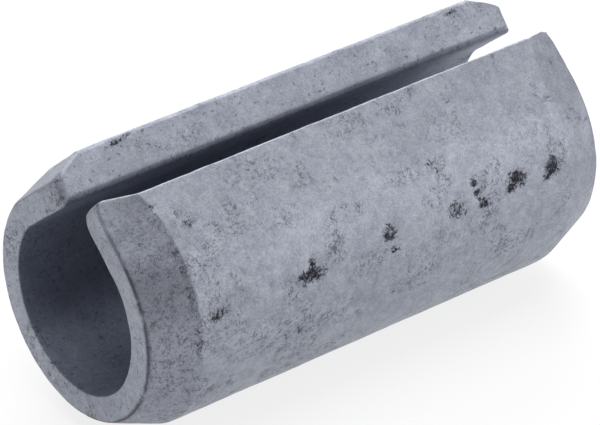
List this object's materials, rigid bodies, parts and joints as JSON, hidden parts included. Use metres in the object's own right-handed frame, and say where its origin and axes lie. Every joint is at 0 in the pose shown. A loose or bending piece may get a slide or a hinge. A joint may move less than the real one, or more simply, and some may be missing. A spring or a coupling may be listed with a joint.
{
  "type": "roll pin",
  "caption": "Slotted spring pin: one steel strip rolled into a tube with an open lengthwise slot, straight slot lips and a chamfered lead-in at each end.",
  "frame": {"origin": "on the axis of the bore, at the middle of the pin's length", "axes": "+X along the pin's axis, +Z out through the middle of the slot, so the pin lies on its back with the slot up"},
  "size_m": [0.018, 0.0086, 0.0087],
  "materials": {
    "phosphated_steel": "dull grey-blue phosphated and tumbled spring steel with fine dark veins, pepper specks and a few black blotches"
  },
  "bodies": {
    "root": {"roll_pin": "phosphated_steel"}
  },
  "joints": []
}
